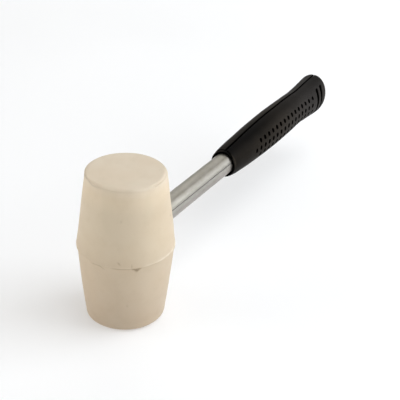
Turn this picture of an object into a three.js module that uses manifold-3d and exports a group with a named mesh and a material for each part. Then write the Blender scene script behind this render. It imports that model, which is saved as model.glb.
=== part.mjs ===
// Rubber mallet: a barrel-shaped rubber head on a steel tube, with a moulded rubber grip.
//
// Frame: millimetres, +Z up. The origin is the centre of the head's lower striking face,
// +Z runs along the head's axis to the upper striking face, and +X runs along the handle,
// from the head to the butt.
//
// Pieces: rubber_head, handle_tube, head_plug (in the tube, inside the head), butt_plug (in
// the tube's far end) and grip_sleeve. Nothing moves: the tube is glued into the head's blind
// socket, the plugs are driven into the tube, and the grip is pushed over it.

import * as THREE from 'three';
import { mergeVertices } from 'three/addons/utils/BufferGeometryUtils.js';
import Module from 'manifold-3d';

// ---------------------------------------------------------------- driving dimensions, mm
const HEAD_LENGTH = 108;        // between the two striking faces
const FACE_RADIUS = 26.86;      // where the side's cone meets the face's rounded edge
const EDGE_FILLET = 3.08;       // rounded edge of each striking face
const LOWER_WAIST_RADIUS = 32.15; // lower half at the mould's parting plane
const UPPER_WAIST_RADIUS = 32.55; // upper half just above the parting bead
const BEAD_RADIUS = 33.0;       // parting bead
const PARTING_Z = 53.4;         // the parting plane
const BEAD_HEIGHT = 1.9;

const HANDLE_Z = 54;            // height of the handle's axis
const TUBE_RADIUS = 8.0;
const TUBE_WALL = 1.2;
const TUBE_START_X = -18.0;     // inside the head
const TUBE_END_X = 276.0;       // inside the grip
const SOCKET_RADIUS = 8.3;      // blind socket in the head, and bore of the grip
const SOCKET_END_X = -18.3;
const SOCKET_MOUTH_CHAMFER = 0.8;

const PLUG_RADIUS = 6.5;        // both plugs, inside the tube
const HEAD_PLUG_START_X = -17.6;
const HEAD_PLUG_END_X = 42.0;
const BUTT_PLUG_LENGTH = 18.0;  // spigot inside the tube
const BUTT_FLANGE_RADIUS = 7.9;
const BUTT_FLANGE_THICKNESS = 2.0;
const GAP = 0.3;                // between touching pieces

const GRIP_MOUTH_X = 131.3;
const GRIP_END_X = 290.36;      // the butt's rim, before the butt's cant is added
const BUTT_FILLET = 3.36;
const BUTT_DOME = 2.0;          // crown of the butt's end face
const BUTT_CANT = 0.24;         // the butt leans back: its top is further from the head
const BUTT_CANT_FROM_X = 262;
const GRIP_BORE_END_X = TUBE_END_X + BUTT_FLANGE_THICKNESS + 2 * GAP;
// station x, half height, width as a part of the height, rise of the centre line
const GRIP_STATIONS = [
  [133.9, 10.59, 1, -0.06], [138.0, 10.91, 1, -0.1], [145.0, 11.37, 1, -0.15],
  [155.0, 12.0, 1, -0.19], [167.0, 12.55, 1, -0.21], [180.0, 13.05, 1, -0.17],
  [194.0, 13.35, 1, -0.03], [210.0, 13.49, 1, 0.13], [222.0, 13.4, 1, 0.24],
  [232.0, 13.2, 1, 0.32], [240.0, 12.9, 1, 0.36], [248.0, 12.79, 0.993, 0.31],
  [257.0, 13.0, 0.979, -0.27], [266.0, 13.55, 0.959, -0.52], [275.0, 14.47, 0.916, -0.57],
  [281.0, 15.26, 0.867, -0.44], [287.0, 16.05, 0.824, 0.2],
];

const HEAD_SEGMENTS = 64;
const GRIP_SEGMENTS = 40;
const TUBE_SEGMENTS = 48;

// ---------------------------------------------------------------- solids
const wasm = await Module();
wasm.setup();

// Welds a geometry, drops faces without area and turns the faces outward.
function weld(geometry) {
  const bare = geometry.clone();
  for (const name of Object.keys(bare.attributes)) if (name !== 'position') bare.deleteAttribute(name);
  const merged = mergeVertices(bare, 1e-4);
  const p = merged.attributes.position;
  const source = merged.index.array;
  const index = [];
  let volume = 0;
  const a = new THREE.Vector3(), b = new THREE.Vector3(), c = new THREE.Vector3(), n = new THREE.Vector3();
  for (let i = 0; i < source.length; i += 3) {
    const [u, v, w] = [source[i], source[i + 1], source[i + 2]];
    if (u === v || v === w || u === w) continue;
    a.fromBufferAttribute(p, u); b.fromBufferAttribute(p, v); c.fromBufferAttribute(p, w);
    volume += a.dot(n.crossVectors(b, c));
    index.push(u, v, w);
  }
  if (volume < 0) for (let i = 0; i < index.length; i += 3) [index[i + 1], index[i + 2]] = [index[i + 2], index[i + 1]];
  merged.setIndex(index);
  return merged;
}

function toSolid(geometry) {
  const g = weld(geometry);
  return new wasm.Manifold(new wasm.Mesh({
    numProp: 3,
    vertProperties: new Float32Array(g.attributes.position.array),
    triVerts: new Uint32Array(g.index.array),
  }));
}

function toGeometry(solid) {
  const m = solid.getMesh();
  const g = new THREE.BufferGeometry();
  g.setAttribute('position', new THREE.BufferAttribute(new Float32Array(m.vertProperties), 3));
  g.setIndex(new THREE.BufferAttribute(new Uint32Array(m.triVerts), 1));
  g.computeVertexNormals();
  return g;
}

// Profile points are [radius, distance along the axis].
const lathe = (points, segments) =>
  new THREE.LatheGeometry(points.map(([r, y]) => new THREE.Vector2(r, y)), segments);
const alongX = (geometry) => geometry.rotateZ(-Math.PI / 2);
const alongZ = (geometry) => geometry.rotateX(Math.PI / 2);

// ---------------------------------------------------------------- head
function headProfile() {
  const pts = [[0, 0]];
  const steps = 4;
  for (let i = 0; i <= steps; i++) {           // lower edge
    const t = (i / steps) * Math.PI / 2;
    pts.push([FACE_RADIUS - EDGE_FILLET * (1 - Math.sin(t)), EDGE_FILLET * (1 - Math.cos(t))]);
  }
  pts.push([(FACE_RADIUS + LOWER_WAIST_RADIUS) / 2 + 0.15, (EDGE_FILLET + PARTING_Z) / 2]);
  pts.push([LOWER_WAIST_RADIUS, PARTING_Z - 0.3]);
  pts.push([BEAD_RADIUS - 0.15, PARTING_Z]);    // the step out to the upper half
  pts.push([BEAD_RADIUS, PARTING_Z + 0.3]);
  pts.push([BEAD_RADIUS, PARTING_Z + BEAD_HEIGHT * 0.6]);
  pts.push([UPPER_WAIST_RADIUS, PARTING_Z + BEAD_HEIGHT + 0.8]);
  const top = HEAD_LENGTH - EDGE_FILLET;
  pts.push([(FACE_RADIUS + UPPER_WAIST_RADIUS) / 2 + 0.15, (top + PARTING_Z + BEAD_HEIGHT) / 2]);
  for (let i = 0; i <= steps; i++) {           // upper edge
    const t = (i / steps) * Math.PI / 2;
    pts.push([FACE_RADIUS - EDGE_FILLET * (1 - Math.cos(t)), top + EDGE_FILLET * Math.sin(t)]);
  }
  pts.push([0, HEAD_LENGTH]);
  return pts;
}

// A blind round socket for the tube, with a small chamfer at its mouth.
function socketCutter() {
  const mouth = LOWER_WAIST_RADIUS - SOCKET_RADIUS ** 2 / (2 * LOWER_WAIST_RADIUS);
  const cutter = lathe([
    [0, SOCKET_END_X], [SOCKET_RADIUS, SOCKET_END_X], [SOCKET_RADIUS, mouth],
    [SOCKET_RADIUS + SOCKET_MOUTH_CHAMFER, BEAD_RADIUS + 0.2], [SOCKET_RADIUS + SOCKET_MOUTH_CHAMFER, 40], [0, 40],
  ], TUBE_SEGMENTS);
  return alongX(cutter).translate(0, 0, HANDLE_Z);
}

const headGeometry = toGeometry(toSolid(alongZ(lathe(headProfile(), HEAD_SEGMENTS)))
  .subtract(toSolid(socketCutter())));

// ---------------------------------------------------------------- tube and plugs
const inner = TUBE_RADIUS - TUBE_WALL;
const tubeGeometry = weld(alongX(lathe([
  [inner, TUBE_START_X], [TUBE_RADIUS - 0.3, TUBE_START_X], [TUBE_RADIUS, TUBE_START_X + 0.3],
  [TUBE_RADIUS, GRIP_MOUTH_X], [TUBE_RADIUS, TUBE_END_X], [inner, TUBE_END_X], [inner, TUBE_START_X],
], TUBE_SEGMENTS)));

const headPlugGeometry = weld(alongX(lathe([
  [0, HEAD_PLUG_START_X], [PLUG_RADIUS - 0.8, HEAD_PLUG_START_X], [PLUG_RADIUS, HEAD_PLUG_START_X + 0.8],
  [PLUG_RADIUS, HEAD_PLUG_END_X - 1.5], [PLUG_RADIUS - 1.5, HEAD_PLUG_END_X], [0, HEAD_PLUG_END_X],
], 32)));

const buttPlugGeometry = weld(alongX(lathe([
  [0, TUBE_END_X - BUTT_PLUG_LENGTH], [PLUG_RADIUS - 1.2, TUBE_END_X - BUTT_PLUG_LENGTH],
  [PLUG_RADIUS, TUBE_END_X - BUTT_PLUG_LENGTH + 2.5], [PLUG_RADIUS, TUBE_END_X + GAP],
  [BUTT_FLANGE_RADIUS, TUBE_END_X + GAP], [BUTT_FLANGE_RADIUS, TUBE_END_X + GAP + BUTT_FLANGE_THICKNESS - 0.4],
  [BUTT_FLANGE_RADIUS - 0.4, TUBE_END_X + GAP + BUTT_FLANGE_THICKNESS], [0, TUBE_END_X + GAP + BUTT_FLANGE_THICKNESS],
], 32)));

// ---------------------------------------------------------------- grip
// The outside is turned as a round, then made oval and canted towards the butt.
function gripGeometryFromStations() {
  const pts = [[0, GRIP_MOUTH_X], [9.6, GRIP_MOUTH_X], [10.2, GRIP_MOUTH_X + 0.7]];
  for (const [x, r] of GRIP_STATIONS) pts.push([r, x]);
  const rim = GRIP_STATIONS[GRIP_STATIONS.length - 1][1];
  const steps = 4;
  for (let i = 1; i <= steps; i++) {
    const t = (i / steps) * Math.PI / 2;
    pts.push([rim - BUTT_FILLET * (1 - Math.cos(t)), GRIP_END_X - BUTT_FILLET + BUTT_FILLET * Math.sin(t)]);
  }
  const flat = rim - BUTT_FILLET;
  pts.push([flat * 0.6, GRIP_END_X + BUTT_DOME * 0.64], [0, GRIP_END_X + BUTT_DOME]);

  const g = weld(alongX(lathe(pts, GRIP_SEGMENTS)));
  const p = g.attributes.position;
  const at = (x, k) => {
    const s = GRIP_STATIONS;
    if (x <= s[0][0]) return s[0][k];
    for (let i = 1; i < s.length; i++) {
      if (x <= s[i][0]) return s[i - 1][k] + (s[i][k] - s[i - 1][k]) * (x - s[i - 1][0]) / (s[i][0] - s[i - 1][0]);
    }
    return s[s.length - 1][k];
  };
  for (let i = 0; i < p.count; i++) {
    const x = p.getX(i), y = p.getY(i), z = p.getZ(i);
    const w = Math.max(0, (x - BUTT_CANT_FROM_X) / (GRIP_END_X - BUTT_CANT_FROM_X)) ** 2;
    p.setXYZ(i, x + BUTT_CANT * Math.min(w, 1) * z, y * at(x, 2), z + at(x, 3));
  }
  return g.translate(0, 0, HANDLE_Z);
}

const boreCutter = alongX(lathe([
  [0, 120], [SOCKET_RADIUS, 120], [SOCKET_RADIUS, GRIP_BORE_END_X], [0, GRIP_BORE_END_X],
], TUBE_SEGMENTS)).translate(0, 0, HANDLE_Z);
const gripGeometry = toGeometry(toSolid(gripGeometryFromStations()).subtract(toSolid(boreCutter)));

// ---------------------------------------------------------------- scene graph
const paint = (color, roughness, metalness) => new THREE.MeshStandardMaterial({ color, roughness, metalness });

function piece(name, geometry, material, z = 0) {
  const mesh = new THREE.Mesh(geometry, material);
  mesh.name = name;
  mesh.position.z = z;
  return mesh;
}

const mallet = new THREE.Group();
mallet.name = 'rubber_mallet';

const head = new THREE.Group();
head.add(piece('rubber_head', headGeometry, paint(0xdccdb6, 0.62, 0)));

const handle = new THREE.Group();
handle.add(piece('handle_tube', tubeGeometry, paint(0xc9c7c2, 0.3, 1), HANDLE_Z));
handle.add(piece('head_plug', headPlugGeometry, paint(0xb58a5a, 0.75, 0), HANDLE_Z));
handle.add(piece('butt_plug', buttPlugGeometry, paint(0x26272a, 0.5, 0), HANDLE_Z));
handle.add(piece('grip_sleeve', gripGeometry, paint(0x2b2a29, 0.7, 0)));

mallet.add(head, handle);

export default mallet;
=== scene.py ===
import math

import bmesh
import bpy
import numpy as np
from mathutils import Matrix, Vector


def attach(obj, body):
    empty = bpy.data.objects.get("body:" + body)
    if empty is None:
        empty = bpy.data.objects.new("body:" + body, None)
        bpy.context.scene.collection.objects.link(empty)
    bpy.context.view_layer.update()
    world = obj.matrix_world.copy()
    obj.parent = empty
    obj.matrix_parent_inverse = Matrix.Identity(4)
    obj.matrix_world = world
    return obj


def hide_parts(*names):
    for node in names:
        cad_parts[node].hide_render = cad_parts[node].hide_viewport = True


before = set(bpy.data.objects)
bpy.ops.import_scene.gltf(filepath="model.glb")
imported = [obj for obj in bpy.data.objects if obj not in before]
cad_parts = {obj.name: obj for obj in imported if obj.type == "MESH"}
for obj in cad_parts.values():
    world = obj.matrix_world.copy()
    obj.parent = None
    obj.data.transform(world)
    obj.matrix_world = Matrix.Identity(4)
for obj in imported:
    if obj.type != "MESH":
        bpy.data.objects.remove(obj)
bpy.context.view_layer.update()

MM = 0.001
HANDLE_Z = 54.0
HEAD_LENGTH = 108.0

# ------------------------------------------------------------------ camera
# Perspective camera set by where it stands from the head's centre: distance, elevation, roll,
# the handle's bearing across the view and the place of the head's centre in the 400 x 400 frame.
CAM_DISTANCE = 0.75654
CAM_ELEVATION = math.radians(31.917)
CAM_ROLL = math.radians(2.3408)
HANDLE_BEARING = math.radians(56.754)
FOCAL_PX = 1134.94
HEAD_AT = (125.958, 241.784)


def camera_axes(forward, roll):
    forward = forward / np.linalg.norm(forward)
    right = np.cross(forward, [0, 0, 1.0])
    right /= np.linalg.norm(right)
    up = np.cross(right, forward)
    c, s = math.cos(roll), math.sin(roll)
    return np.array([c * right + s * up, -s * right + c * up, -forward])


def make_camera():
    place = CAM_DISTANCE * np.array([0, -math.cos(CAM_ELEVATION), math.sin(CAM_ELEVATION)])
    forward = -place / CAM_DISTANCE
    axes = camera_axes(forward, CAM_ROLL)
    for _ in range(40):
        q = axes @ (-place)
        dx = (200 + FOCAL_PX * q[0] / -q[2] - HEAD_AT[0]) / FOCAL_PX
        dy = (200 - FOCAL_PX * q[1] / -q[2] - HEAD_AT[1]) / FOCAL_PX
        forward = forward + axes[0] * dx - axes[1] * dy
        forward /= np.linalg.norm(forward)
        axes = camera_axes(forward, CAM_ROLL)
    c, s = math.cos(HANDLE_BEARING), math.sin(HANDLE_BEARING)
    turn = np.array([[c, s, 0], [-s, c, 0], [0, 0, 1.0]])
    place = turn @ place + np.array([0, 0, HANDLE_Z * MM])
    axes = axes @ turn.T
    data = bpy.data.cameras.new("camera")
    data.sensor_width = 36.0
    data.lens = FOCAL_PX * 36.0 / 400.0
    data.clip_start, data.clip_end = 0.05, 20.0
    cam = bpy.data.objects.new("camera", data)
    bpy.context.scene.collection.objects.link(cam)
    m = Matrix.Identity(4)
    for i in range(3):
        for k in range(3):
            m[k][i] = axes[i][k]
        m[i][3] = place[i]
    cam.matrix_world = m
    bpy.context.scene.camera = cam
    return cam, axes, place


cam, cam_axes, cam_place = make_camera()
IMAGE_RIGHT = Vector((math.cos(HANDLE_BEARING), -math.sin(HANDLE_BEARING), 0))
TOWARD_CAMERA = Vector((-math.sin(HANDLE_BEARING), -math.cos(HANDLE_BEARING), 0))
UP = Vector((0, 0, 1))


# ------------------------------------------------------------------ small tools
def pchip(xk, yk, x):
    """Smooth monotone interpolation through points."""
    xk, yk, x = np.asarray(xk, float), np.asarray(yk, float), np.asarray(x, float)
    h, d = np.diff(xk), np.diff(yk) / np.diff(xk)
    m = np.zeros_like(yk)
    for i in range(1, len(xk) - 1):
        if d[i - 1] * d[i] > 0:
            w1, w2 = 2 * h[i] + h[i - 1], h[i] + 2 * h[i - 1]
            m[i] = (w1 + w2) / (w1 / d[i - 1] + w2 / d[i])
    m[0], m[-1] = d[0], d[-1]
    xx = np.clip(x, xk[0], xk[-1])
    i = np.clip(np.searchsorted(xk, xx) - 1, 0, len(h) - 1)
    t = (xx - xk[i]) / h[i]
    return (yk[i] * (1 + 2 * t) * (1 - t) ** 2 + h[i] * m[i] * t * (1 - t) ** 2
            + yk[i + 1] * t * t * (3 - 2 * t) + h[i] * m[i + 1] * t * t * (t - 1))


def smooth(a, b, x):
    t = np.clip((x - a) / (b - a), 0, 1)
    return t * t * (3 - 2 * t)


def wobble(theta, seed, lo=1, hi=8, power=1.0):
    """Seeded periodic noise round a ring, about -1 to 1. theta in radians."""
    rng = np.random.default_rng(seed)
    out, total = np.zeros_like(theta), 0
    for k in range(lo, hi + 1):
        a = 1 / k ** power
        out = out + a * np.sin(k * theta + rng.uniform(0, 2 * math.pi)) * rng.uniform(0.5, 1)
        total += a * a
    return out / math.sqrt(total)


def ring_distance(theta, centre_deg):
    """Signed angle in degrees from centre_deg."""
    return (np.degrees(theta) - centre_deg + 180) % 360 - 180


def lattice_mesh(name, rows, first_pole=None, last_pole=None, closed=False, masks=None):
    """A mesh from rings of points, wrapping round. rows is (n, m, 3) in millimetres.
    masks is {name: (n, m) array} stored as point attributes."""
    n, m = rows.shape[:2]
    co = rows.reshape(-1, 3)
    faces = []
    j = np.arange(m)
    k = (j + 1) % m
    top = n if closed else n - 1
    quads = np.concatenate([np.stack([i * m + j, i * m + k, ((i + 1) % n) * m + k, ((i + 1) % n) * m + j], 1)
                            for i in range(top)])
    faces = quads.tolist()
    extra = []
    if first_pole is not None:
        p = len(co) + len(extra)
        extra.append(first_pole)
        faces += [[p, int(b), int(a)] for a, b in zip(j, k)]
    if last_pole is not None:
        p = len(co) + len(extra)
        extra.append(last_pole)
        base = (n - 1) * m
        faces += [[p, int(base + a), int(base + b)] for a, b in zip(j, k)]
    if extra:
        co = np.concatenate([co, np.array(extra, float)])
    me = bpy.data.meshes.new(name)
    me.from_pydata((co * MM).tolist(), [], faces)
    for key, value in (masks or {}).items():
        flat = np.concatenate([value.reshape(-1), np.zeros(len(extra))]).astype(np.float32)
        me.attributes.new(key, "FLOAT", "POINT").data.foreach_set("value", flat)
    me.validate()
    bm = bmesh.new()
    bm.from_mesh(me)
    bmesh.ops.recalc_face_normals(bm, faces=bm.faces)
    if bm.calc_volume(signed=True) < 0:
        bmesh.ops.reverse_faces(bm, faces=bm.faces)
    bm.to_mesh(me)
    bm.free()
    return me


def add_object(name, me, sharp_deg=42):
    for p in me.polygons:
        p.use_smooth = True
    me.set_sharp_from_angle(angle=math.radians(sharp_deg))
    ob = bpy.data.objects.new(name, me)
    bpy.context.scene.collection.objects.link(ob)
    return ob


def cut(ob, cutter_mesh):
    """Takes the cutter out of ob, for good."""
    tool = bpy.data.objects.new("cutter", cutter_mesh)
    bpy.context.scene.collection.objects.link(tool)
    mod = ob.modifiers.new("cut", "BOOLEAN")
    mod.operation, mod.solver, mod.object = "DIFFERENCE", "EXACT", tool
    bpy.context.view_layer.update()
    dg = bpy.context.evaluated_depsgraph_get()
    me = bpy.data.meshes.new_from_object(ob.evaluated_get(dg))
    ob.modifiers.clear()
    ob.data = me
    bpy.data.objects.remove(tool)
    # the cut can leave slivers folded flat on its edge: triangles that lie back to back on the same three points
    bm = bmesh.new()
    bm.from_mesh(me)
    bmesh.ops.triangulate(bm, faces=bm.faces[:])
    bmesh.ops.remove_doubles(bm, verts=bm.verts[:], dist=2e-6)
    seen = {}
    for f in bm.faces:
        seen.setdefault(tuple(sorted(v.index for v in f.verts)), []).append(f)
    bmesh.ops.delete(bm, geom=[f for same in seen.values() if len(same) > 1 for f in same], context="FACES")
    bm.to_mesh(me)
    bm.free()
    for p in me.polygons:
        p.use_smooth = True
    me.set_sharp_from_angle(angle=math.radians(38))
    return ob


def round_along_x(name, profile, segments, z=HANDLE_Z, closed=False):
    """A turned shape along X. profile is [(x, radius)]; a radius of 0 at an end is a pole."""
    profile = list(profile)
    first = last = None
    if profile[0][1] == 0:
        first = (profile[0][0], 0, z)
        profile = profile[1:]
    if profile[-1][1] == 0:
        last = (profile[-1][0], 0, z)
        profile = profile[:-1]
    a = np.linspace(0, 2 * math.pi, segments, endpoint=False)
    rows = np.array([np.stack([np.full(segments, x), -r * np.sin(a), z + r * np.cos(a)], 1) for x, r in profile])
    return lattice_mesh(name, rows, first, last, closed)


def arc(cx, cr, radius, a0, a1, n):
    """Points (x, r) on an arc in the profile plane. Angles in degrees, 0 along +x, 90 along +r."""
    a = np.radians(np.linspace(a0, a1, n))
    return [(cx + radius * math.cos(t), cr + radius * math.sin(t)) for t in a]


# ------------------------------------------------------------------ head
FACE_R = 26.86
PART_Z = 53.65


def head_rows():
    cols = 336
    th = np.linspace(-math.pi, math.pi, cols, endpoint=False)
    # rounded edges: the top one was trimmed by hand, so its width wanders from a tight corner to a wide bevel
    front = math.degrees(math.atan2(TOWARD_CAMERA.y, TOWARD_CAMERA.x))
    turn = (np.degrees(th) - front + 180) % 360 - 180
    bearings = [-180, -130, -95, -80, -68, -60, -51, -43, -36, -28, -18, -8, 0, 8, 20, 30, 43, 60, 80, 95, 130, 180]
    top_w = pchip(bearings, [3.4, 2.7, 1.6, 1.4, 1.6, 2.0, 2.5, 2.8, 3.2, 4.2, 3.8, 2.9, 2.4, 2.0, 2.2, 2.6, 3.1, 3.4, 3.3, 3.0, 3.3, 3.4],
                  turn) + 0.10 * wobble(th, 3, 2, 9)
    top_h = pchip(bearings, [3.4, 2.7, 1.5, 1.0, 0.8, 1.1, 2.0, 1.7, 1.3, 1.1, 1.3, 1.5, 1.6, 1.6, 2.0, 2.6, 3.2, 3.4, 3.2, 3.0, 3.3, 3.4],
                  turn)
    ledge = smooth(27, 54, turn) * smooth(100, 80, turn) * (1 - 0.55 * smooth(48, 66, turn))         # a cut that slipped and left a small ledge
    low_re = 3.45 + 0.7 * np.sin(np.radians(turn)) + 0.12 * wobble(th, 4, 2, 7)
    out_x, out_y, out_z, mask_dirt_and_shade, mask_stain_and_shade = [], [], [], [], []

    def ring(r, z, dirt_and_shade=0.0, stain_and_shade=0.0):
        z = z * np.ones(cols)
        r = r * np.ones(cols)
        out_x.append(r * np.cos(th)); out_y.append(r * np.sin(th)); out_z.append(z)
        mask_dirt_and_shade.append(dirt_and_shade * np.ones(cols)); mask_stain_and_shade.append(stain_and_shade * np.ones(cols))

    flat_low = FACE_R - low_re
    for s in (0.08, 0.2, 0.35, 0.5, 0.65, 0.78, 0.88, 0.95):
        ring(flat_low * s, 0.035 * smooth(0.9, 0.3, s) * (1 + 0.5 * wobble(th, 31, 1, 4)))
    for a in np.radians(np.linspace(0, 90, 10)):
        ring(FACE_R - low_re * (1 - np.sin(a)), low_re * (1 - np.cos(a)))
    # sides
    zs_low = np.concatenate([np.linspace(0.02, 0.93, 44), np.linspace(0.94, 1.0, 7)])
    z0 = low_re
    z1 = PART_Z - 1.25
    part = [PART_Z + d for d in (-1.1, -0.9, -0.72, -0.56, -0.42, -0.3, -0.2, -0.1, 0.0, 0.1, 0.2, 0.32, 0.46, 0.62, 0.8,
                                 1.0, 1.25, 1.55, 1.9, 2.3, 2.8, 3.4, 4.1, 5.0)]
    bead_z = [-1.2, -0.7, -0.35, -0.12, 0.08, 0.35, 0.9, 1.6, 2.6, 3.6, 5.2]
    # the lower half sits in a little from the upper one
    bead_r = [32.10, 32.14, 32.22, 32.50, 32.90, 33.00, 32.97, 32.84, 32.64, 32.50, 32.34]

    def side_low(z, re):
        t = np.clip((z - re) / (PART_Z - 1.2 - re), 0, 1)
        return FACE_R + (32.10 - FACE_R) * t + 0.30 * 4 * t * (1 - t)

    def side_high(z, re):
        t = np.clip((HEAD_LENGTH - re - z) / (HEAD_LENGTH - re - PART_Z - 5.2), 0, 1)
        return FACE_R + (32.34 - FACE_R) * t + 0.03 * 4 * t * (1 - t)

    for t in zs_low:
        z = z0 + (z1 - z0) * t
        ring(side_low(z, low_re), z)
    for z in part:
        ring(pchip(bead_z, bead_r, z - PART_Z), z)
    hi0, hi1 = PART_Z + 5.4, HEAD_LENGTH - top_h
    for t in np.linspace(0.0, 0.985, 50):
        z = hi0 + (hi1 - hi0) * t
        ring(side_high(z, top_h), z)
    for a in np.radians(np.linspace(0, 90, 25)):
        step = 0.62 * math.exp(-((a - 0.86) / 0.17) ** 2) - 0.12 * math.exp(-((a - 0.5) / 0.2) ** 2)
        ring(FACE_R - top_w * (1 - np.cos(a)) - 0.35 * ledge * step, HEAD_LENGTH - top_h + top_h * np.sin(a) - ledge * step)
    flat_top = FACE_R - top_w
    for s in (0.97, 0.92, 0.85, 0.76, 0.65, 0.5, 0.35, 0.2, 0.08):
        ring(flat_top * s, HEAD_LENGTH - 0.035 * smooth(0.9, 0.3, s) * (1 + 0.5 * wobble(th, 32, 1, 4)))

    X, Y, Z = np.array(out_x), np.array(out_y), np.array(out_z)
    dirt_and_shade, stain_and_shade = np.array(mask_dirt_and_shade), np.array(mask_stain_and_shade)
    R = np.hypot(X, Y)
    T = np.broadcast_to(th, R.shape)
    side = smooth(FACE_R - 4, FACE_R - 1, R)
    # moulding waviness
    d = 0.05 * np.sin(3 * T + 0.06 * Z + 1.0) + 0.04 * np.sin(5 * T - 0.11 * Z) + 0.03 * np.sin(9 * T + 0.2 * Z + 2)
    # flash: a thin ragged fin on the parting line, stronger in places
    ragged = np.clip(0.45 + 0.55 * wobble(th, 11, 3, 40, 0.35), 0, 1.3)
    right = smooth(64, 84, turn) * smooth(140, 110, turn)
    climb = (0.8 * smooth(2, 30, turn) + 0.62 * smooth(30, 58, turn)) * smooth(140, 105, turn)
    d = d + np.exp(-((Z - PART_Z - 0.12 - climb) / 0.22) ** 2) * (0.16 * ragged + 0.16 * smooth(5, 45, turn) * smooth(120, 95, turn)) * (1 - 0.75 * right)
    d = d - 0.22 * right * smooth(PART_Z - 0.6, PART_Z - 0.1, Z) * smooth(PART_Z + 16, PART_Z + 6, Z)
    d = d - 0.17 * smooth(-60, -85, turn) * smooth(-130, -105, turn) * smooth(PART_Z + 4, PART_Z + 10, Z) * smooth(HEAD_LENGTH - 1, HEAD_LENGTH - 6, Z)
    # the lower half is moved sideways a hair in the mould
    shift = smooth(PART_Z - 0.05, PART_Z - 0.55, Z) * -0.05
    X = X + shift * IMAGE_RIGHT.x
    Y = Y + shift * IMAGE_RIGHT.y
    # places where the flash was torn and a chip under the parting line
    def patch(z, deg, hz, hd, p=2.0):
        return np.exp(-(np.abs((Z - z) / hz) ** p + np.abs(ring_distance(T, deg) / hd) ** p))

    # the chip is a rough triangle, wide at the parting line and pointing down
    v = (53.8 - Z) / 2.95
    wide = 5.7 * np.clip(1 - 0.80 * v, 0.1, 1)
    chip = smooth(1.25, 0.7, np.abs(ring_distance(T, -133.9 - 0.8 * v)) / wide) * smooth(-0.10, 0.10, v) * smooth(1.2, 0.8, v)
    d = d - 0.5 * chip - 0.3 * patch(51.8, -134.6, 0.7, 1.3) - 0.25 * patch(53.3, -130.6, 0.5, 1.1) \
        - 0.25 * patch(53.1, -138.4, 0.5, 0.9)
    tear = patch(53.25 + 0.022 * np.clip(ring_distance(T, -151), -14, 14), -150.5, 0.42, 12.0, 4) + 0.6 * patch(53.7, -126.0, 0.3, 2.5, 4)
    d = d - 0.26 * tear
    lean = (Z - 57.2) * 1.3
    nick = np.exp(-(((Z - 57.2) / 1.0) ** 2 + (ring_distance(T, -154.8 - lean) / 1.0) ** 2))
    tick = patch(55.3, -140.2, 1.2, 0.6, 2.4)
    d = d - 0.34 * nick - 0.2 * tick + 0.12 * patch(58.6, -153.0, 0.6, 1.6)
    fold_z = pchip([-9, -6.5, -3.5, 0, 3, 5.5, 8.5], [52.3, 52.7, 52.95, 52.95, 52.5, 51.7, 50.9], ring_distance(T, 180.0))
    fold = patch(fold_z, 179.5, 0.36, 8.8, 5)
    d = d - 0.22 * fold + 0.10 * patch(fold_z + 0.9, 180.5, 0.45, 7.5, 3)
    # crease left under the trimmed edge, also darkened along it as a painted shadow line
    edge = HEAD_LENGTH - np.broadcast_to(top_h, Z.shape) * 0.96 - 0.12
    along = smooth(-100, -80, turn) * smooth(-30, -46, turn)
    crease = np.exp(-((Z - edge) / 0.48) ** 2) * along * (0.7 + 0.3 * np.clip(wobble(th, 14, 3, 22, 0.4), -0.8, 1))
    d = d - 0.22 * crease
    far_rim = np.exp(-((Z - HEAD_LENGTH + 0.5) / 0.55) ** 2) * smooth(78, 108, np.abs(turn)) * smooth(FACE_R - 3.2, FACE_R - 1.6, R)
    # the tag is a dark tick at the left end of the top edge, a painted shadow where the crease ends
    tag = np.exp(-(((Z - HEAD_LENGTH + 2.4 + 0.5 * wobble(th, 21, 6, 40, 0.4)) / 2.0) ** 2 + ((turn + 89) / 8.5) ** 2))
    dent = patch(79.5, -73.5, 0.8, 1.3, 2)
    d = d - 0.35 * dent
    spots = patch(86.5, -153, 0.8, 1.3) + patch(22.4, -145, 0.9, 1.4)
    d = d - 0.07 * spots
    # a shallow collar that the rubber forms round the tube
    hole = np.hypot(Y, Z - HANDLE_Z)
    near = (X > 0)
    d = d + near * 0.45 * np.exp(-((hole - 9.6) / 1.0) ** 2) - near * 0.12 * np.exp(-((hole - 12.6) / 1.4) ** 2)
    d = d * side
    k = (R + d) / np.maximum(R, 1e-6)
    X, Y = X * k, Y * k
    # grime round the tube, and under the parting-line step a dark band that is both grime and painted shade of the
    # overhang
    dirt_and_shade = np.clip(0.75 * np.exp(-((Z - PART_Z + 0.45) / 0.28) ** 2) * (0.45 + 0.55 * np.clip(wobble(th, 12, 2, 30, 0.4), 0, 1))
                   + 0.5 * near * np.exp(-((hole - 8.4) / 0.7) ** 2), 0, 1) * side
    # stains on the chip, nick, tick, dent, spots, tear and fold; the crease and the tag are darkened as painted
    # shadow, and far_rim darkens a thin line along the top rim on the far side
    stain_and_shade = np.clip(0.29 * chip + 0.24 * patch(51.8, -134.6, 0.8, 1.6) + 0.24 * patch(53.3, -130.6, 0.5, 1.4)
                    + 0.34 * patch(53.0, -138.0, 0.8, 1.6) + 0.44 * nick + 0.28 * tick + 0.30 * dent + 0.17 * spots + 0.34 * tear
                    + 0.32 * fold + 0.29 * crease + 0.28 * far_rim + 0.33 * tag, 0, 1) * side
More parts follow.
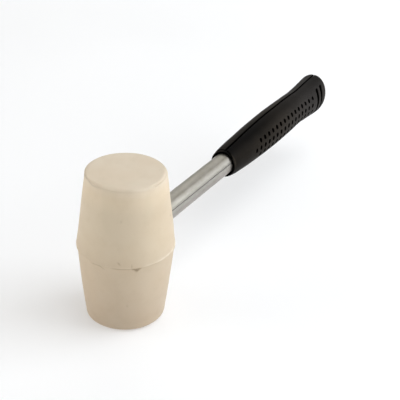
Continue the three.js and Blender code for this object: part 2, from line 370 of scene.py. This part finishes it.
    # a paler line along the crest of the flash, mostly on the right side, where the light comes from: partly torn
    # flash, partly a painted highlight
    run = smooth(-40, 10, turn) * smooth(118, 100, turn) * (0.35 + 0.65 * smooth(15, 60, turn))
    gap = 1 - np.exp(-(np.abs(turn - 14) / 8) ** 4)
    pale_and_highlight = np.exp(-((Z - PART_Z - 0.35 - climb) / 0.62) ** 2) * run * gap * (0.6 + 0.4 * np.clip(wobble(th, 15, 4, 40, 0.3), -1, 1)) * side
    rows = np.stack([X, Y, Z], 2)
    return rows, {"dirt_and_shade": dirt_and_shade, "stain_and_shade": stain_and_shade, "pale_and_highlight": np.clip(pale_and_highlight, 0, 1)}


rows, masks = head_rows()
head_me = lattice_mesh("rubber_head_look", rows, (0, 0, 0.035), (0, 0, HEAD_LENGTH - 0.035), masks=masks)
head = add_object("rubber_head_look", head_me)
socket = [(-18.2, 0), (-18.2, 5.0)] + arc(-17.2, 7.12, 1.0, 180, 90, 5) + [(-10, 8.12), (10, 8.12), (31.2, 8.12)] \
    + [(31.9, 8.22), (32.4, 8.5), (33.0, 9.2), (38.0, 9.4), (38.0, 0)]
cut(head, round_along_x("socket_cutter", socket, 96))

# ------------------------------------------------------------------ tube
TUBE_R, TUBE_IN = 8.0, 6.8
SEAM_DEG = 66.6


def tube_mesh():
    seg = 160
    # finer round the weld line
    a = np.linspace(0, 2 * math.pi, seg, endpoint=False)
    fine = np.radians(SEAM_DEG + np.array([-4, -3.2, -2.6, -2.1, -1.7, -1.3, -0.9, -0.45, 0, 0.45, 0.9, 1.3, 1.7, 2.1, 2.6, 3.2, 4]))
    keep = a[np.abs(((np.degrees(a) - SEAM_DEG + 180) % 360) - 180) > 4.8]
    a = np.sort(np.concatenate([keep, fine]))
    d = np.abs((np.degrees(a) - SEAM_DEG + 180) % 360 - 180)
    outer = [(-18.0, TUBE_R - 0.35), (-17.9, TUBE_R - 0.15), (-17.65, TUBE_R)]
    outer += [(x, TUBE_R) for x in np.concatenate([np.linspace(-10, 25, 6), np.linspace(30, 136, 60), np.linspace(145, 270, 12)])]
    outer += [(275.65, TUBE_R), (275.9, TUBE_R - 0.15), (276.0, TUBE_R - 0.35), (276.0, TUBE_IN + 0.2), (275.8, TUBE_IN)]
    outer += [(x, TUBE_IN) for x in np.linspace(262, -10, 10)] + [(-17.8, TUBE_IN), (-18.0, TUBE_IN + 0.2)]
    rows, mask = [], []
    for x, r in outer:
        rr = np.full(len(a), r)
        if r > 7.5:
            # planished weld line: a hair groove with a low ridge each side
            rr = rr - 0.20 * np.exp(-(d / 2.0) ** 4) + 0.012 * np.exp(-((d - 3.4) / 0.9) ** 2)
            rr = rr + 0.008 * np.sin(x * 0.31 + 2 * a) + 0.006 * np.sin(x * 0.83 + 3 * a)
        rows.append(np.stack([np.full(len(a), x), -rr * np.sin(a), HANDLE_Z + rr * np.cos(a)], 1))
        mask.append(np.exp(-(d / 2.35) ** 6) * (r > 7.5))
    return lattice_mesh("handle_tube_look", np.array(rows), closed=True, masks={"weld": np.array(mask)})


tube = add_object("handle_tube_look", tube_mesh(), 50)

# ------------------------------------------------------------------ plugs, out of sight in the tube
wood = [(-17.6, 0), (-17.6, 2.0), (-17.5, 4.5)] + arc(-16.6, 5.6, 0.9, 180, 90, 6) \
    + [(-12, 6.52), (0, 6.55), (20, 6.55), (36, 6.52)] + arc(40.2, 4.7, 1.8, 90, 0, 7) + [(42.1, 3.0), (42.2, 0)]


def plug_mesh():
    me = round_along_x("head_plug_look", [(x, r) for x, r in wood], 72)
    co = np.zeros(len(me.vertices) * 3)
    me.vertices.foreach_get("co", co)
    co = co.reshape(-1, 3)
    y, z = co[:, 1], co[:, 2] - HANDLE_Z * MM
    a = np.arctan2(y, z)
    # six shallow glue flutes along the dowel
    f = 1 - 0.045 * np.exp(-((np.degrees(a) % 60 - 30) / 7) ** 2) * (np.hypot(y, z) > 0.0058)
    co[:, 1] = y * f
    co[:, 2] = HANDLE_Z * MM + z * f
    me.vertices.foreach_set("co", co.ravel())
    me.update()
    return me


head_plug = add_object("head_plug_look", plug_mesh(), 30)
barbs = [(258.0, 0), (258.0, 4.6)] + arc(258.7, 4.9, 0.7, 180, 100, 4)
for x0 in (260.0, 264.0, 268.0, 272.0):
    barbs += [(x0, 5.9), (x0 + 0.4, 5.95), (x0 + 2.4, 6.62), (x0 + 2.7, 6.62), (x0 + 2.9, 6.4), (x0 + 3.0, 5.95)]
barbs += [(276.1, 5.95), (276.3, 6.1), (276.3, 7.5), (276.35, 7.75), (276.5, 7.9), (277.8, 7.9), (278.05, 7.82), (278.2, 7.6), (278.3, 7.2),
          (278.3, 2.6), (278.0, 2.3), (277.6, 2.2), (277.6, 0)]
butt_plug = add_object("butt_plug_look", round_along_x("butt_plug_look", barbs, 72), 35)

# ------------------------------------------------------------------ grip
MOUTH_X, RIM_X, RIM_FILLET, DOME = 131.3, 290.36, 3.36, 2.0
CANT, CANT_X = 0.24, 262.0
ST = np.array([
    [133.9, 10.59, 1, -0.06], [138.0, 10.91, 1, -0.1], [145.0, 11.37, 1, -0.15], [155.0, 12.0, 1, -0.19], [167.0, 12.55, 1, -0.21],
    [180.0, 13.05, 1, -0.17], [194.0, 13.35, 1, -0.03], [210.0, 13.49, 1, 0.13], [222.0, 13.4, 1, 0.24], [232.0, 13.2, 1, 0.32],
    [240.0, 12.9, 1, 0.36], [248.0, 12.79, 0.993, 0.31], [257.0, 13.0, 0.979, -0.27], [266.0, 13.55, 0.959, -0.52],
    [275.0, 14.47, 0.916, -0.57], [281.0, 15.26, 0.867, -0.44], [287.0, 16.05, 0.824, 0.2]])
# dimples: bearing from the top in degrees, first x, pitch, count
DIMPLE_ROWS = [(58.8, 172.7, 6.681, 15), (83.4, 164.25, 6.642, 16), (106.5, 170.6, 6.68, 15)]
GROOVE = np.array([[130, 1.4], [134, 1.0], [145, 0.2], [162.6, -2.5], [180.4, -4.5], [203, -5.7], [220, -5.9], [229, -6.9], [243, -8.0],
                   [255, -8.1], [269.5, -8.3], [281, -6.2], [287.5, -2.5], [292, -1.5]])
MOUTH_BACK = 1.0
BUTT_GROOVES = [  # two plain parallel grooves: bearing from the top in degrees, x before the cant is added
    np.array([[40, 276.8], [62, 275.2], [84, 274.2], [106, 273.8], [130, 273.9]]),
    np.array([[40, 282.8], [62, 281.4], [84, 280.7], [106, 280.6], [130, 281.0]])]


def grip_columns():
    """Bearings round the grip, closer together where there are dimples and grooves. Symmetric about the top."""
    def density(b):
        k = 1.0
        for c, w, g in ((0, 9, 2.0), (-6, 8, 1.2), (58.8, 8.0, 1.7), (83.4, 8.0, 1.7), (106.5, 8.0, 1.7), (180, 3.5, 1.6)):
            k += g * math.exp(-((b - c) / w) ** 2)
        return k
    bs = np.linspace(0, 180, 1801)
    dens = np.array([density(b) for b in bs])
    cum = np.concatenate([[0], np.cumsum((dens[1:] + dens[:-1]) / 2)])
    half = np.interp(np.linspace(0, cum[-1], 113), cum, bs)
    return np.radians(np.concatenate([half, 360 - half[1:-1][::-1]]))


def grip_mesh():
    b = grip_columns()
    m = len(b)
    deg = np.degrees(b)
    signed = (deg + 180) % 360 - 180       # + on the side the dimple table is given for
    xs = [np.linspace(MOUTH_X, 136.6, 30)[1:], np.arange(137.2, 160.5, 0.85), np.arange(161.0, 267.6, 0.376),
          np.arange(268.0, RIM_X - RIM_FILLET - 0.1, 0.375)]
    xs = np.concatenate(xs)
    px = np.concatenate([[MOUTH_X + 0.0, MOUTH_X + 0.55, MOUTH_X + 1.1, MOUTH_X + 1.7, MOUTH_X + 2.15, MOUTH_X + 2.5], ST[1:, 0]])
    pr = np.concatenate([[9.75, 10.2, 10.36, 10.4, 10.42, 10.5], ST[1:, 1]])
    prof = [(x, float(pchip(px, pr, x))) for x in xs]
    rim = ST[-1, 1]
    flat = rim - RIM_FILLET
    steps = np.radians(np.linspace(0, 90, 13))[1:]
    prof += [(RIM_X - RIM_FILLET + RIM_FILLET * math.sin(t), rim - RIM_FILLET * (1 - math.cos(t))) for t in steps]
    prof += [(RIM_X + DOME * (1 - (s ** 2)) * 0.98, flat * s) for s in (0.93, 0.84, 0.72, 0.58, 0.42, 0.25, 0.1)]
    prof = np.array(prof)
    X = np.repeat(prof[:, :1], m, 1)
    Rr = np.repeat(prof[:, 1:], m, 1)
    Dg = np.broadcast_to(signed, X.shape)
    both = np.abs(Dg)
    d = np.zeros_like(X)
    deep = np.zeros_like(X)
    pit = np.zeros_like(X)
    # lip behind the mouth: a bead with a groove after it, which runs in to the mouth on the panel side
    back = np.interp(Dg, [-180, -150, -120, 0, 8, 30, 48, 62, 120, 180], [0.2, 0.2, 2.6, 2.6, 2.5, 1.3, 0.5, 0.2, 0.2, 0.2])
    shown = smooth(0.25, 0.8, back)
    lip = np.exp(-(np.abs(X - (MOUTH_X + back)) / 0.52) ** 2.6) * shown
    d -= 0.62 * lip
    deep = np.maximum(deep, lip)
    # line moulded along the top, wandering a little, and the same parting line underneath
    g = pchip(GROOVE[:, 0], GROOVE[:, 1], X)
    s = (Dg - g) * math.pi / 180 * Rr
    along = smooth(MOUTH_X + 2.2, MOUTH_X + 3.0, X) * smooth(RIM_X + 1, RIM_X - 1.5, X)
    line = np.exp(-(np.abs(s) / 0.70) ** 3) * along
    d -= 1.25 * line
    # the panel beyond the line sits a touch proud of it and rolls in to the line
    d += 0.10 * smooth(-0.4, -2.2, s) * smooth(-9.5, -4, s) * along
    deep = np.maximum(deep, line)
    s2 = ((Dg + 180 + 180) % 360 - 180) * math.pi / 180 * Rr
    under = np.exp(-(s2 / 0.35) ** 2) * along
    d += 0.10 * under
    # dimples
    for bearing, x0, pitch, count in DIMPLE_ROWS:
        sc = (both - bearing) * math.pi / 180 * Rr
        n = np.clip(np.round((X - x0) / pitch), 0, count - 1)
        sx = X - (x0 + n * pitch)
        lean = math.radians(22)
        sa, ca = sx * math.cos(lean) + sc * math.sin(lean), sc * math.cos(lean) - sx * math.sin(lean)
        big = np.interp(X, [160, 180, 250, 272], [0.86, 0.91, 0.91, 0.80])
        q = (np.abs(ca) / (1.70 * big)) ** 2.4 + (np.abs(sa) / (1.45 * big)) ** 2.4
        d -= 1.7 * smooth(1.22, 0.3, q)
        d += 0.05 * np.exp(-((q - 2.0) / 0.7) ** 2) * (q < 6)
        pit = np.maximum(pit, np.clip(1.6 - q ** (1 / 2.4), 0, 1))
    # grooves round the butt
    for k, table in enumerate(BUTT_GROOVES):
        gx = pchip(table[:, 0], table[:, 1], both)
        on = smooth(table[0, 0] - 1, table[0, 0] + 5, both) * smooth(table[-1, 0] + 1, table[-1, 0] - 6, both)
        w = 1.25 if k == 0 else 1.15
        gr = np.exp(-(np.abs(X - gx) / w) ** 3) * on
        d -= 1.6 * gr
        deep = np.maximum(deep, np.exp(-(np.abs(X - gx) / (1.10 * w)) ** 3) * on)
    # dust and wear, thin by the mouth and heavier toward the butt; the lower side is lighter; on the strip beyond the
    # line it is painted sheen, a grazing reflection
    toward_butt = smooth(158, 272, X)
    lower = smooth(14, 62, both)
    strip = smooth(-0.5, -1.3, s) * smooth(-70, -50, Dg)
    dust_and_sheen = 0.015 + 0.44 * toward_butt + 0.40 * lower * (0.55 + 0.45 * smooth(148, 190, X)) + strip * (0.24 + 0.42 * toward_butt)
    # a painted highlight along the mouth's rounded edge on the panel side, where it catches the light
    dust_and_sheen += 0.45 * np.exp(-((X - MOUTH_X - 1.5) / 0.8) ** 2) * smooth(25, 42, Dg) * smooth(100, 75, Dg)
    dust_and_sheen = np.clip(dust_and_sheen, 0, 1)
    # hand-moulded waviness
    d += 0.20 * smooth(132.6, 140, X) * smooth(RIM_X + 1, 280, X)
    d += 0.035 * np.sin(0.11 * X + 2 * b[None]) + 0.025 * np.sin(0.19 * X + 3 * b[None] + 1)
    fade = smooth(0.05, 0.35, Rr / rim)
    R2 = Rr + d * fade
    wide = np.interp(X, ST[:, 0], ST[:, 2])
    rise = pchip(ST[:, 0], ST[:, 3], X) * smooth(MOUTH_X, ST[1, 0], X)
    y = -R2 * np.sin(b)[None] * wide
    z = R2 * np.cos(b)[None]
    w = np.clip((X - CANT_X) / (RIM_X - CANT_X), 0, 1) ** 2
    xx = X + CANT * w * z
    rows = np.stack([xx, y, z + rise + HANDLE_Z], 2)
    # mouth face, bore and its closed end, from the inside out
    bore = [(278.55, 6.5), (278.5, 7.6), (278.3, 8.0), (277.8, 8.1), (270, 8.1)] + [(x, 8.1) for x in np.linspace(255, 140, 14)] \
        + [(134.0, 8.1), (132.8, 8.14), (132.1, 8.3), (131.7, 8.62), (131.42, 9.0), (131.3, 9.4)]
    inner = np.array([np.stack([np.full(m, x), -r * np.sin(b), HANDLE_Z + r * np.cos(b)], 1) for x, r in bore])
    # the mouth's first ring closes onto the outside
    first = np.array([np.stack([np.full(m, MOUTH_X), -9.75 * np.sin(b), HANDLE_Z - 0.03 + 9.75 * np.cos(b)], 1)])
    rows = np.concatenate([inner, first, rows])
    # the mouth isn't quite square: it stands further back along the top than underneath
    rows[:, :, 0] += (1.0 + 0.5 * np.cos(b)[None]) * smooth(143.0, MOUTH_X, rows[:, :, 0]) * MOUTH_BACK
    # painted shade: the bore, the mouth face and the grooves are marked to be painted near black
    cav = np.concatenate([np.repeat(np.linspace(1, 1, len(bore))[:, None], m, 1), np.full((1, m), 0.6), deep])
    cav[len(bore) - 4:len(bore) + 1] = 0.8
    dust_and_sheen_rows = np.concatenate([np.zeros((len(bore) + 1, m)), dust_and_sheen])
    pit = np.concatenate([np.zeros((len(bore) + 1, m)), pit])
    pole_in = (278.6, 0, HANDLE_Z)
    pole_out = (RIM_X + DOME, 0, HANDLE_Z + 0.2)
    return lattice_mesh("grip_sleeve_look", rows, pole_in, pole_out, masks={"cavity_shade": cav, "dust_and_sheen": dust_and_sheen_rows, "pit": pit})


grip = add_object("grip_sleeve_look", grip_mesh(), 60)


# ------------------------------------------------------------------ materials
class Nodes:
    """Short hand for building a node tree."""

    def __init__(self, name):
        self.mat = bpy.data.materials.new(name)
        self.mat.use_nodes = True
        self.t = self.mat.node_tree
        self.t.nodes.clear()
        self.out = self.t.nodes.new("ShaderNodeOutputMaterial")
        self.bsdf = self.t.nodes.new("ShaderNodeBsdfPrincipled")
        self.t.links.new(self.bsdf.outputs[0], self.out.inputs[0])
        self.co = self.t.nodes.new("ShaderNodeTexCoord").outputs["Object"]

    def link(self, a, b):
        self.t.links.new(a, b)

    def value(self, socket, v):
        if isinstance(v, bpy.types.NodeSocket):
            self.link(v, socket)
        elif v is not None:
            socket.default_value = v

    def noise(self, scale, detail=3.0, rough=0.5, stretch=None, distortion=0.0, seed=0.0):
        co = self.co
        if stretch or seed:
            mp = self.t.nodes.new("ShaderNodeMapping")
            mp.inputs["Scale"].default_value = stretch or (1, 1, 1)
            mp.inputs["Location"].default_value = (seed, seed * 1.7, seed * 0.6)
            self.link(co, mp.inputs[0])
            co = mp.outputs[0]
        n = self.t.nodes.new("ShaderNodeTexNoise")
        n.inputs["Scale"].default_value = scale
        n.inputs["Detail"].default_value = detail
        n.inputs["Roughness"].default_value = rough
        n.inputs["Distortion"].default_value = distortion
        self.link(co, n.inputs["Vector"])
        return n.outputs["Fac"]

    def attr(self, name):
        n = self.t.nodes.new("ShaderNodeAttribute")
        n.attribute_name = name
        return n.outputs["Fac"]

    def math(self, op, a, b=None, c=None, clamp=False):
        n = self.t.nodes.new("ShaderNodeMath")
        n.operation = op
        n.use_clamp = clamp
        for s, v in zip(n.inputs, (a, b, c)):
            self.value(s, v)
        return n.outputs[0]

    def span(self, v, a, b, lo=0.0, hi=1.0, kind="SMOOTHSTEP"):
        n = self.t.nodes.new("ShaderNodeMapRange")
        n.interpolation_type = kind
        self.value(n.inputs["Value"], v)
        n.inputs["From Min"].default_value, n.inputs["From Max"].default_value = a, b
        n.inputs["To Min"].default_value, n.inputs["To Max"].default_value = lo, hi
        return n.outputs[0]

    def mix(self, fac, a, b, blend="MIX"):
        n = self.t.nodes.new("ShaderNodeMix")
        n.data_type = "RGBA"
        n.blend_type = blend
        self.value(n.inputs[0], fac)
        for s, v in ((n.inputs[6], a), (n.inputs[7], b)):
            self.value(s, (*v, 1) if isinstance(v, tuple) and len(v) == 3 else v)
        return n.outputs[2]

    def bump(self, height, strength, distance, normal=None):
        n = self.t.nodes.new("ShaderNodeBump")
        n.inputs["Strength"].default_value = strength
        n.inputs["Distance"].default_value = distance
        self.link(height, n.inputs["Height"])
        if normal is not None:
            self.link(normal, n.inputs["Normal"])
        return n.outputs[0]

    def axis(self, which):
        n = self.t.nodes.new("ShaderNodeSeparateXYZ")
        self.link(self.co, n.inputs[0])
        return n.outputs[which]

    def set(self, **kw):
        for k, v in kw.items():
            self.value(self.bsdf.inputs[k.replace("_", " ")], (*v, 1) if isinstance(v, tuple) and len(v) == 3 else v)
        return self.mat


def head_rubber():
    n = Nodes("head_rubber")
    light, dark, warm = (0.665, 0.570, 0.440), (0.608, 0.510, 0.381), (0.647, 0.541, 0.406)
    big = n.noise(26, 3, 0.55, seed=3.1)
    mid = n.noise(110, 4, 0.6, seed=1.3)
    fine = n.noise(900, 3, 0.6)
    c = n.mix(n.span(big, 0.38, 0.66), light, warm)
    c = n.mix(n.math("MULTIPLY", n.span(mid, 0.45, 0.75), 0.35), c, dark)
    # flow marks of the moulding, up and down the head
    flow = n.noise(60, 3, 0.5, stretch=(1.0, 1.0, 0.22), distortion=0.6, seed=7.7)
    c = n.mix(n.math("MULTIPLY", n.span(flow, 0.52, 0.7), 0.22), c, (0.600, 0.524, 0.390))
    # the sides below the top rim are tinted a little warmer, painted warm bounce light; a band just under the top edge
    # is rubbed a little paler
    c = n.mix(n.span(n.axis(2), 0.100, 0.1065, 1.0, 0.0), c, (0.963, 0.944, 0.900), "MULTIPLY")
    worn = n.math("MULTIPLY", n.span(n.axis(2), 0.088, 0.100), n.span(n.axis(2), 0.1045, 0.1075, 1.0, 0.0))
    c = n.mix(worn, c, (1.075, 1.07, 1.065), "MULTIPLY")
    # painted shade: the lower half is darker toward the bottom, standing for the weaker light bounced up from the
    # floor
    c = n.mix(n.span(n.axis(2), 0.046, 0.068, 1.0, 0.0), c, (0.93, 0.915, 0.915), "MULTIPLY")
    c = n.mix(n.span(n.axis(2), 0.0, 0.050, 1.0, 0.0), c, (0.893, 0.875, 0.875), "MULTIPLY")
    # dark specks of filler
    speck = n.math("MULTIPLY", n.span(fine, 0.70, 0.80), n.span(mid, 0.5, 0.62))
    c = n.mix(n.math("MULTIPLY", speck, 0.35), c, (0.45, 0.36, 0.25))
    # handling grime round the tube, and grime with painted shade in the step under the parting line, where the
    # overhang's shadow falls
    c = n.mix(n.math("MULTIPLY", n.attr("dirt_and_shade"), n.span(n.noise(240, 3, 0.6), 0.3, 0.6, 0.35, 0.8)), c, (0.42, 0.33, 0.215))
    # stains, with painted shadow in the crease under the trimmed edge and at its tick
    c = n.mix(n.math("MULTIPLY", n.attr("stain_and_shade"), n.span(n.noise(500, 3, 0.6, seed=2), 0.3, 0.6, 0.75, 1.0)), c, (0.16, 0.10, 0.045))
    # painted highlight along the crest of the flash, partly the paler torn rubber
    c = n.mix(n.math("MULTIPLY", n.attr("pale_and_highlight"), 0.8), c, (0.78, 0.70, 0.585))
    height = n.math("ADD", n.math("MULTIPLY", mid, 0.5), n.math("MULTIPLY", fine, 0.5))
    b = n.bump(big, 0.15, 0.0006)
    b = n.bump(height, 0.22, 0.00016, b)
    rough = n.span(mid, 0.3, 0.7, 0.56, 0.70)
    return n.set(Base_Color=c, Roughness=rough, Specular_IOR_Level=0.38, Normal=b, Sheen_Weight=0.06, Sheen_Roughness=0.5)


def tube_steel():
    n = Nodes("tube_steel")
    cloud = n.noise(70, 3, 0.55, stretch=(0.35, 1, 1))
    draw = n.noise(900, 2, 0.5, stretch=(0.012, 1, 1))
    fine = n.noise(3200, 2, 0.5, stretch=(0.02, 1, 1), seed=4)
    pit = n.noise(1500, 2, 0.5, seed=9)
    c = n.mix(n.span(cloud, 0.35, 0.7), (0.450, 0.430, 0.394), (0.400, 0.382, 0.350))
    c = n.mix(n.math("MULTIPLY", n.span(draw, 0.55, 0.75), 0.25), c, (0.40, 0.395, 0.38))
    # scuffs and dull blotches from years of handling
    blotch = n.noise(210, 4, 0.6, stretch=(0.6, 1, 1), distortion=0.5, seed=6.3)
    c = n.mix(n.span(blotch, 0.40, 0.66), c, (0.93, 0.93, 0.895), "MULTIPLY")
    c = n.mix(n.span(blotch, 0.46, 0.30), c, (1.06, 1.06, 1.06), "MULTIPLY")
    c = n.mix(n.math("MULTIPLY", n.attr("weld"), 0.92), c, (0.16, 0.15, 0.14))
    # painted light: the upper side is made a little lighter and warmer, and on its near side the band where the
    # highlight falls is darkened as painted shade
    dimmed_highlight = n.math("MULTIPLY", n.span(n.axis(1), -0.0070, -0.0052), n.span(n.axis(1), -0.0036, -0.0020, 1.0, 0.0))
    dimmed_highlight = n.math("MULTIPLY", n.span(n.axis(2), 0.0565, 0.0585), dimmed_highlight)
    c = n.mix(n.span(n.axis(2), 0.0565, 0.0585), c, (1.02, 1.005, 0.955), "MULTIPLY")
    c = n.mix(dimmed_highlight, c, (0.86, 0.85, 0.85), "MULTIPLY")
    c = n.mix(n.span(n.axis(2), 0.0535, 0.0558, 1.0, 0.0), c, (0.90, 0.875, 0.895), "MULTIPLY")
    c = n.mix(n.math("MULTIPLY", n.span(pit, 0.72, 0.8), 0.5), c, (0.35, 0.33, 0.30))
    rough = n.math("ADD", n.span(cloud, 0.3, 0.7, 0.36, 0.45), n.math("MULTIPLY", draw, 0.06))
    b = n.bump(n.math("ADD", draw, n.math("MULTIPLY", fine, 0.5)), 0.10, 0.00008)
    return n.set(Base_Color=c, Metallic=1.0, Roughness=rough, Normal=b, Anisotropic=0.25)


def grip_rubber():
    n = Nodes("grip_rubber")
    cloud = n.noise(55, 3, 0.55)
    grain = n.noise(1700, 3, 0.6)
    fine = n.noise(4200, 2, 0.5, seed=5)
    c = n.mix(n.span(cloud, 0.35, 0.68), (0.0011, 0.0009, 0.0007), (0.0024, 0.0019, 0.0015))
    # dust held by the grain, where the sleeve is handled and lies on things, with the painted sheen on the strip and
    # the painted highlight at the mouth's edge
    dust_and_sheen_amount = n.math("MULTIPLY", n.attr("dust_and_sheen"), n.span(cloud, 0.3, 0.7, 0.82, 1.12))
    c = n.mix(n.math("MULTIPLY", dust_and_sheen_amount, n.span(grain, 0.35, 0.70, 0.80, 1.25), clamp=True), c,
              n.mix(n.span(n.axis(0), 0.17, 0.27), (0.0430, 0.0348, 0.0262), (0.0392, 0.0355, 0.0330)))
    # painted shade: the dimples, grooves, mouth face and bore are painted near black
    hollow_shade = n.math("MAXIMUM", n.span(n.attr("cavity_shade"), 0.05, 0.38), n.span(n.attr("pit"), 0.39, 0.48))
    c = n.mix(hollow_shade, c, (0.0008, 0.0007, 0.0006))
    rough = n.math("ADD", n.span(cloud, 0.3, 0.7, 0.42, 0.54), n.math("MULTIPLY", grain, 0.08))
    b = n.bump(n.math("ADD", grain, n.math("MULTIPLY", fine, 0.4)), 0.35, 0.00012)
    # painted shade: no specular reflection inside them either
    spec = n.math("MULTIPLY_ADD", hollow_shade, -0.038, 0.038)
    return n.set(Base_Color=c, Roughness=rough, Specular_IOR_Level=spec, Normal=b)


def plug_wood():
    n = Nodes("plug_wood")
    grain = n.noise(420, 4, 0.6, stretch=(0.06, 1, 1), distortion=0.4)
    pore = n.noise(1600, 3, 0.6, stretch=(0.04, 1, 1), seed=2)
    c = n.mix(n.span(grain, 0.3, 0.7), (0.58, 0.40, 0.225), (0.43, 0.275, 0.14))
    c = n.mix(n.math("MULTIPLY", n.span(pore, 0.6, 0.75), 0.6), c, (0.22, 0.13, 0.06))
    return n.set(Base_Color=c, Roughness=n.span(grain, 0.3, 0.7, 0.6, 0.8), Normal=n.bump(pore, 0.3, 0.00015))


def plug_plastic():
    n = Nodes("plug_plastic")
    cloud = n.noise(90, 3, 0.5)
    grain = n.noise(2400, 2, 0.5)
    c = n.mix(n.span(cloud, 0.35, 0.7), (0.035, 0.035, 0.038), (0.055, 0.055, 0.058))
    return n.set(Base_Color=c, Roughness=n.span(cloud, 0.3, 0.7, 0.38, 0.52), Normal=n.bump(grain, 0.15, 0.00008))


for ob, make, node, slot in ((head, head_rubber, "rubber_head", "head_rubber"), (tube, tube_steel, "handle_tube", "tube_steel"),
                             (head_plug, plug_wood, "head_plug", "plug_wood"), (butt_plug, plug_plastic, "butt_plug", "plug_plastic"),
                             (grip, grip_rubber, "grip_sleeve", "grip_rubber")):
    ob.data.materials.clear()
    ob.data.materials.append(make())
    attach(ob, "root")
    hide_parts(node)

# ------------------------------------------------------------------ stage
floor_me = bpy.data.meshes.new("floor")
S = 16.0
floor_me.from_pydata([(-S, -S, 0), (S, -S, 0), (S, S, 0), (-S, S, 0)], [], [(0, 1, 2, 3)])
floor = bpy.data.objects.new("floor", floor_me)
floor.location.z = -0.0002
bpy.context.scene.collection.objects.link(floor)
fm = Nodes("floor_paint")
fm.set(Base_Color=fm.mix(fm.span(fm.noise(3, 2), 0.3, 0.7), (0.60, 0.60, 0.597), (0.62, 0.62, 0.617)), Roughness=0.75,
       Specular_IOR_Level=0.1)
# the floor runs on pale to the horizon, past the reach of the lights
reach = fm.math("SQRT", fm.math("ADD", fm.math("POWER", fm.axis(0), 2.0), fm.math("POWER", fm.axis(1), 2.0)))
fm.set(Emission_Color=(1.0, 1.0, 1.0), Emission_Strength=fm.math("ADD", fm.span(reach, 0.45, 1.6, 0.36, 0.77), fm.span(reach, 1.6, 4.0, 0.0, 0.12)))
floor_me.materials.append(fm.mat)
# a pale backdrop above the horizon, seen directly only
backdrop_me = bpy.data.meshes.new("backdrop")
dome = bmesh.new()
bmesh.ops.create_uvsphere(dome, u_segments=48, v_segments=24, radius=15.0)
bmesh.ops.delete(dome, geom=[v for v in dome.verts if v.co.z < -0.01], context="VERTS")
dome.to_mesh(backdrop_me)
dome.free()
backdrop = bpy.data.objects.new("backdrop", backdrop_me)
bpy.context.scene.collection.objects.link(backdrop)
backdrop.visible_diffuse = backdrop.visible_glossy = backdrop.visible_transmission = backdrop.visible_shadow = False
bm_ = Nodes("backdrop_paint")
bm_.set(Base_Color=(0, 0, 0), Roughness=1.0, Specular_IOR_Level=0.0, Emission_Color=(1.0, 1.0, 1.0), Emission_Strength=1.02)
backdrop_me.materials.append(bm_.mat)

world = bpy.data.worlds.new("world")
bpy.context.scene.world = world
world.use_nodes = True
world.node_tree.nodes["Background"].inputs[0].default_value = (1, 1, 1, 1)
world.node_tree.nodes["Background"].inputs[1].default_value = 0.235

CENTRE = Vector((0.06, 0, 0.05))


def softbox(name, direction, distance, size, power, colour=(1, 1, 1)):
    data = bpy.data.lights.new(name, "AREA")
    data.shape = "RECTANGLE"
    data.size, data.size_y = size
    data.energy = power
    data.color = colour
    ob = bpy.data.objects.new(name, data)
    ob.visible_camera = False
    bpy.context.scene.collection.objects.link(ob)
    back = direction.normalized()
    ob.location = CENTRE + back * distance
    ob.rotation_euler = back.to_track_quat("Z", "Y").to_euler()
    return ob


# five wide boxes round the object: bearing from the right of the view (90 is away from the viewer), height, power
for label, bearing, height, power, tint in (("left", 180, 10, 17.4, (1.02, 1.0, 0.97)), ("front_right", 315, 10, 9.6, (1, 1, 1)), ("right", 0, 38, 15.4, (0.94, 1.0, 1.08)),
                                      ("back", 90, 38, 3.9, (1, 1, 1)), ("overhead", 0, 70, 11.9, (1, 1, 1))):
    level = math.cos(math.radians(height))
    softbox(label, IMAGE_RIGHT * (level * math.cos(math.radians(bearing))) - TOWARD_CAMERA * (level * math.sin(math.radians(bearing)))
            + UP * math.sin(math.radians(height)), 1.7, (1.3, 1.3), power, tint)

bpy.context.scene.view_settings.view_transform = "Standard"
